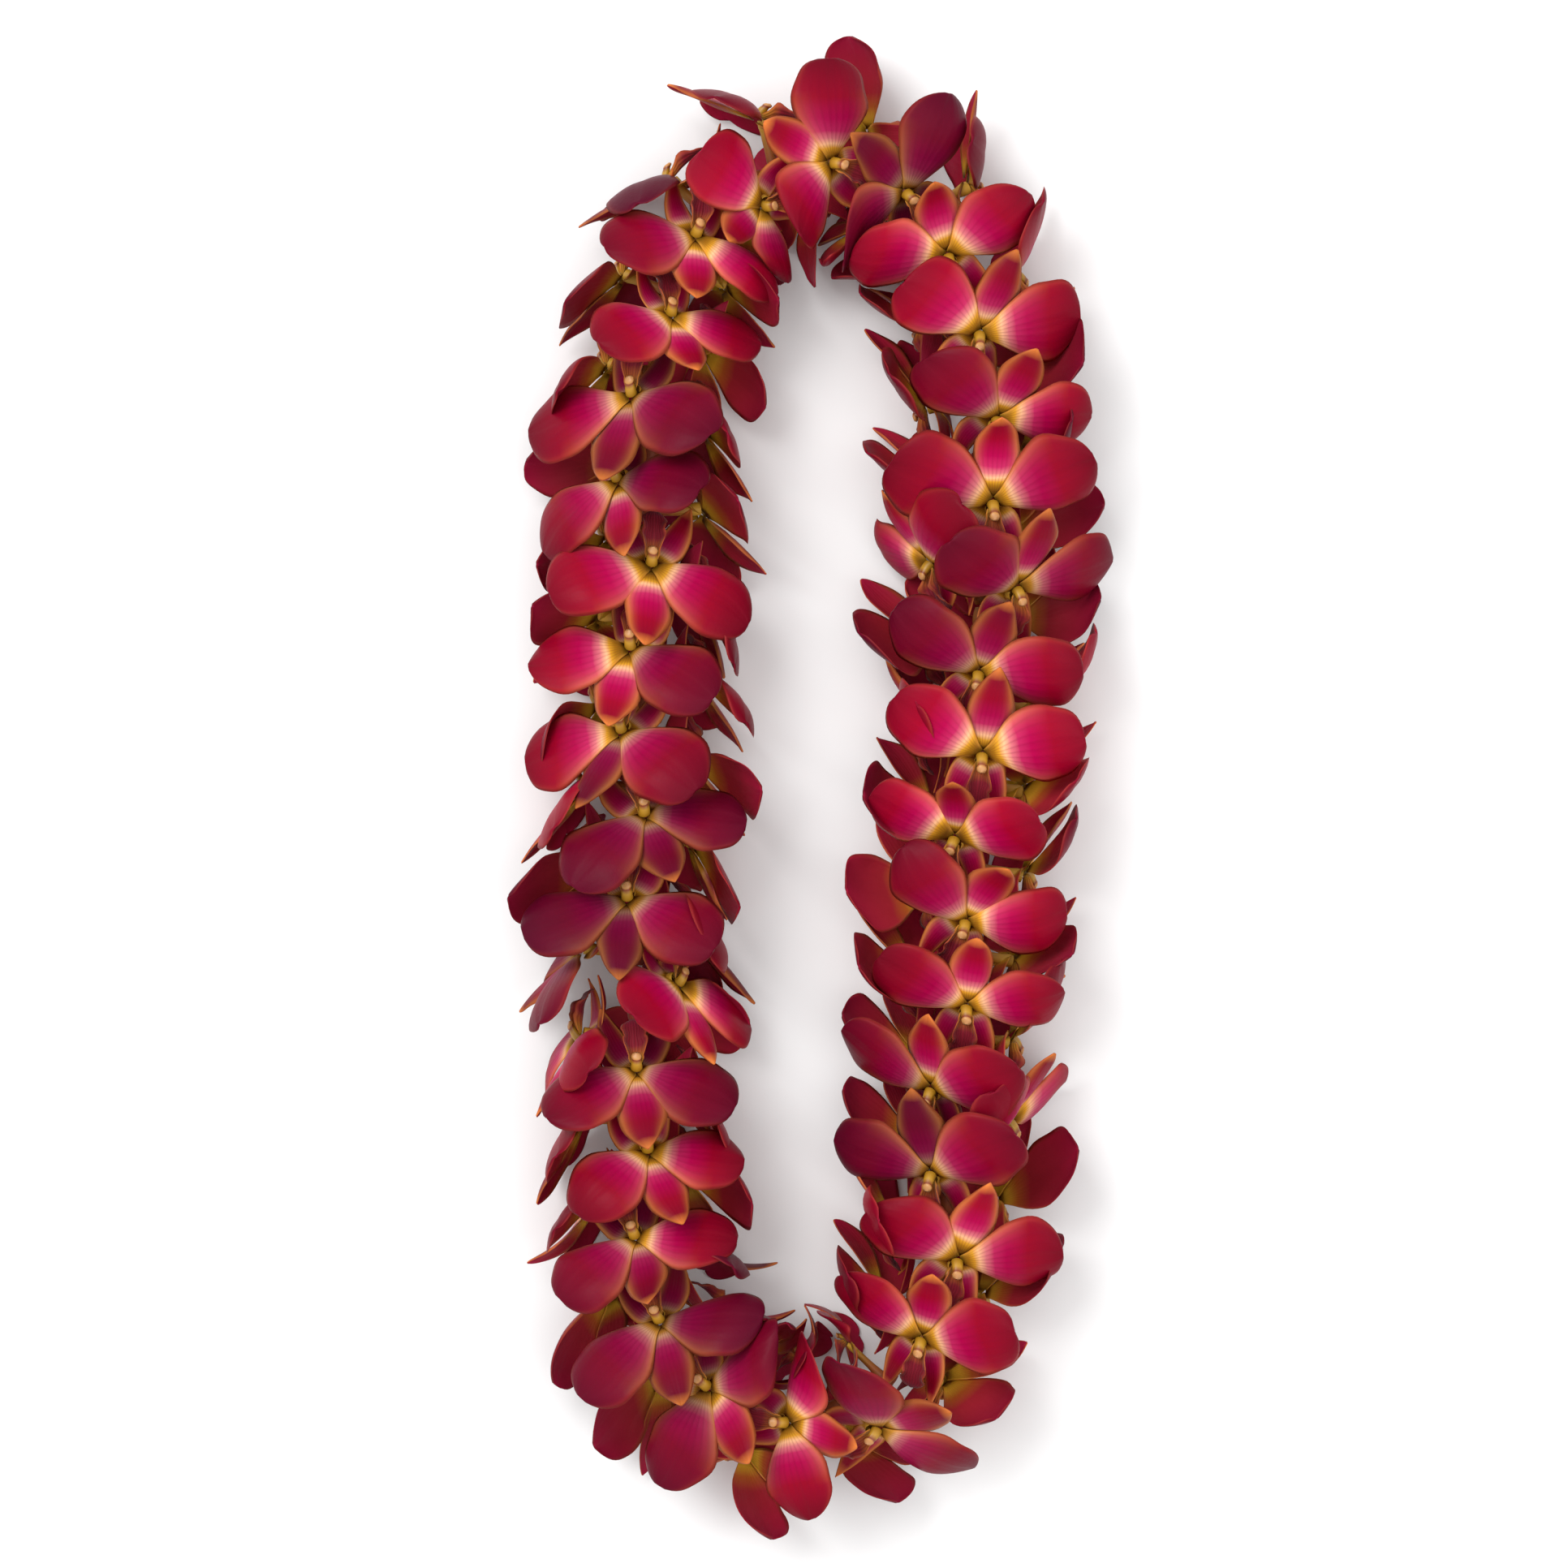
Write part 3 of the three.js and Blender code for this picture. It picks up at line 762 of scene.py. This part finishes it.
class BloomSettings(bpy.types.PropertyGroup):
    petal_length: bpy.props.FloatProperty(
        name="Petal length", description="From the middle of the face to a petal's tip",
        default=0.0366, unit="LENGTH")
    petal_half: bpy.props.FloatProperty(
        name="Petal half width", description="Half of a petal's width where it is widest",
        default=0.0152, unit="LENGTH")
    wave: bpy.props.FloatProperty(
        name="Wave", description="How far the petals' margins wave", default=0.0011, unit="LENGTH")
    root: bpy.props.FloatVectorProperty(
        name="Root", description="Colour of a petal at its root", subtype="COLOR", default=linear("ca9028"))
    cream: bpy.props.FloatVectorProperty(
        name="Cream", description="Colour of the pale ring round the throat", subtype="COLOR",
        default=linear("e6ae84"))
    flush: bpy.props.FloatVectorProperty(
        name="Flush", description="Colour of the flush beyond the pale ring", subtype="COLOR",
        default=linear("9c0440"))
    flesh: bpy.props.FloatVectorProperty(
        name="Flesh", description="Main colour of a petal", subtype="COLOR", default=linear("860220"))
    deep: bpy.props.FloatVectorProperty(
        name="Tip", description="Colour towards a petal's tip", subtype="COLOR", default=linear("640619"))


class StringSettings(bpy.types.PropertyGroup):
    ply: bpy.props.FloatProperty(
        name="Ply radius", description="Radius of one of the three twisted plies",
        default=0.00034, unit="LENGTH")
    twist: bpy.props.FloatProperty(
        name="Twist", description="Length of string for one full twist", default=0.0045, unit="LENGTH")
    color: bpy.props.FloatVectorProperty(
        name="Cotton", description="Colour of the cotton", subtype="COLOR", default=linear("e9e2d2"))


class StageSettings(bpy.types.PropertyGroup):
    floor: bpy.props.FloatVectorProperty(
        name="Floor", description="Colour of the floor", subtype="COLOR", default=(0.8, 0.8, 0.8))
    lens: bpy.props.FloatProperty(
        name="Lens", description="Focal length of the camera in millimetres", default=110)


GROUPS = {"blooms": BloomSettings, "string": StringSettings, "stage": StageSettings}


def blade_shapes(settings):
    """The shapes of a petal, a dorsal sepal and a lateral sepal, in millimetres and degrees.

    Angle, rise and cup have a value at the root, one half way and one at the tip.
    """
    wave = settings.wave * MM
    petal = {
        "reach": settings.petal_length * MM, "half": settings.petal_half * MM, "root": 2.0,
        "peak": 0.58, "point": 0.48, "grid": (22, 17), "slot": PETAL,
        "angle": (62, 64.5, 66), "rise": (-0.8, 1.4, -2.6), "cup": (0.2, 2.6, 3.2), "keel": 0.5,
        "wave": wave * 1.15, "curl": 3.0, "twist": 2.6, "fold": 3.2, "stray": 1.0,
    }
    dorsal = {
        "reach": 33.5, "half": 8.6, "root": 2.4,
        "peak": 0.46, "point": 0.9, "grid": (18, 11), "slot": SEPAL,
        "angle": (0, 0, 0), "rise": (-2.0, -0.6, -1.4), "cup": (0.2, 2.2, 1.2), "keel": 0.35,
        "wave": wave * 0.6, "curl": 1.6, "twist": 1.6, "fold": 1.6, "stray": 7.0,
    }
    lateral = {
        "reach": 24.6, "half": 5.6, "root": 2.0,
        "peak": 0.36, "point": 0.9, "grid": (18, 11), "slot": LATERAL,
        "angle": (150, 152, 156), "rise": (-2.4, -3.0, 4.6), "cup": (0.2, 1.0, 0.5), "keel": 0.3,
        "wave": wave * 0.5, "curl": -1.6, "twist": 2.4, "fold": -1.6, "stray": 6.0,
    }
    return petal, dorsal, lateral


class LEI_OT_blooms(bpy.types.Operator):
    """Adds the orchid blooms, two to a piece"""

    bl_idname = "lei.blooms"
    bl_label = "Orchid blooms"

    def execute(self, context):
        settings = context.scene.lei_blooms
        petal, dorsal, lateral = blade_shapes(settings)
        finishes = [
            blade_finish("petal", settings, shift=0.0, rim=0.9, gilded=0.7, tip=0.0, dusk=0.0),
            blade_finish("sepal", settings, shift=-0.04, rim=1.1, gilded=1.5, tip=0.8, dusk=0.0),
            blade_finish("lateral sepal", settings, shift=-0.06, rim=1.3, gilded=1.8, tip=0.6, dusk=0.2),
            lip_finish(), column_finish(), neck_finish()]
        for node in range(BLOOMS // BLOOMS_IN_A_NODE):
            body = Body()
            for bloom in range(node * BLOOMS_IN_A_NODE, (node + 1) * BLOOMS_IN_A_NODE):
                place = Place(bloom)
                add_neck(body, place)
                add_stalk(body, place)
                add_blade(body, place, petal, 1, 10)
                add_blade(body, place, petal, -1, 12)
                add_blade(body, place, dorsal, 1, 14)
                add_blade(body, place, lateral, 1, 16)
                add_blade(body, place, lateral, -1, 18)
                add_lip(body, place)
                add_column(body, place)
            piece = body.piece(f"orchids_{node + 1:02d}", finishes)
            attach(piece, "root")
            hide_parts(f"blooms_{node + 1:02d}")
        return {"FINISHED"}


class LEI_OT_string(bpy.types.Operator):
    """Adds the three-ply cotton string with its knot and cut tails"""

    bl_idname = "lei.string"
    bl_label = "Cotton string"

    def execute(self, context):
        settings = context.scene.lei_string
        body = Body()
        add_plies(body, settings.ply * MM, settings.twist * MM)
        add_knot(body)
        piece = body.piece("twisted_string", [string_finish(settings)])
        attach(piece, "root")
        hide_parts("thread")
        return {"FINISHED"}


class LEI_OT_stage(bpy.types.Operator):
    """Adds the floor, the soft lights and the camera that looks straight down"""

    bl_idname = "lei.stage"
    bl_label = "Floor, lights and camera"

    def execute(self, context):
        settings = context.scene.lei_stage
        self.add_floor(context.scene, settings)
        self.add_lights(context.scene)
        self.add_camera(context.scene, settings)
        context.scene.view_settings.view_transform = "Standard"
        return {"FINISHED"}

    @staticmethod
    def add_floor(scene, settings):
        corners = [(x * FLOOR_HALF, y * FLOOR_HALF, 0) for x, y in ((-1, -1), (1, -1), (1, 1), (-1, 1))]
        mesh = bpy.data.meshes.new("floor")
        mesh.from_pydata(corners, [], [(0, 1, 2, 3)])
        mesh.materials.append(Shader("floor").finish({}, Base_Color=settings.floor, Roughness=0.9))
        floor = bpy.data.objects.new("floor", mesh)
        scene.collection.objects.link(floor)

    @staticmethod
    def add_lights(scene):
        for name, spot, size, power in LIGHTS:
            light = bpy.data.lights.new(name, "AREA")
            light.size = size
            light.energy = power
            lamp = bpy.data.objects.new(name, light)
            lamp.location = spot
            lamp.rotation_euler = Vector(spot).to_track_quat("Z", "Y").to_euler()
            scene.collection.objects.link(lamp)
        if scene.world is None:
            scene.world = bpy.data.worlds.new("soft")
        scene.world.use_nodes = True
        background = scene.world.node_tree.nodes["Background"]
        background.inputs["Color"].default_value = (1, 1, 1, 1)
        background.inputs["Strength"].default_value = SKY_STRENGTH

    @staticmethod
    def add_camera(scene, settings):
        camera = bpy.data.objects.new("camera", bpy.data.cameras.new("camera"))
        camera.data.lens = settings.lens
        camera.data.sensor_width = SENSOR_MM
        camera.data.clip_end = 50
        metres_per_pixel = 1 / PIXELS_PER_MM / MM
        x = (IMAGE / 2 - OBJECT_CENTRE[0]) * metres_per_pixel
        y = (OBJECT_CENTRE[1] - IMAGE / 2) * metres_per_pixel
        distance = IMAGE * metres_per_pixel * settings.lens / SENSOR_MM
        camera.location = (x, y, LEI_HALF_HEIGHT + distance)
        scene.collection.objects.link(camera)
        scene.camera = camera


class LEI_PT_panel(bpy.types.Panel):
    """Lists the lei's pieces and their sizes and colours"""

    bl_idname = "LEI_PT_panel"
    bl_label = "Lei"
    bl_space_type = "VIEW_3D"
    bl_region_type = "UI"
    bl_category = "Lei"

    def draw(self, context):
        for name, group in GROUPS.items():
            box = self.layout.box()
            box.operator(f"lei.{name}")
            settings = getattr(context.scene, f"lei_{name}")
            for value in group.__annotations__:
                box.prop(settings, value)


CLASSES = (*GROUPS.values(), LEI_OT_blooms, LEI_OT_string, LEI_OT_stage, LEI_PT_panel)


def register():
    for cls in CLASSES:
        bpy.utils.register_class(cls)
    for name, group in GROUPS.items():
        setattr(bpy.types.Scene, f"lei_{name}", bpy.props.PointerProperty(type=group))


def unregister():
    for name in GROUPS:
        delattr(bpy.types.Scene, f"lei_{name}")
    for cls in reversed(CLASSES):
        bpy.utils.unregister_class(cls)


def main():
    register()
    bpy.ops.lei.stage()
    bpy.ops.lei.string()
    bpy.ops.lei.blooms()
    bpy.context.view_layer.update()


if __name__ == "__main__":
    main()
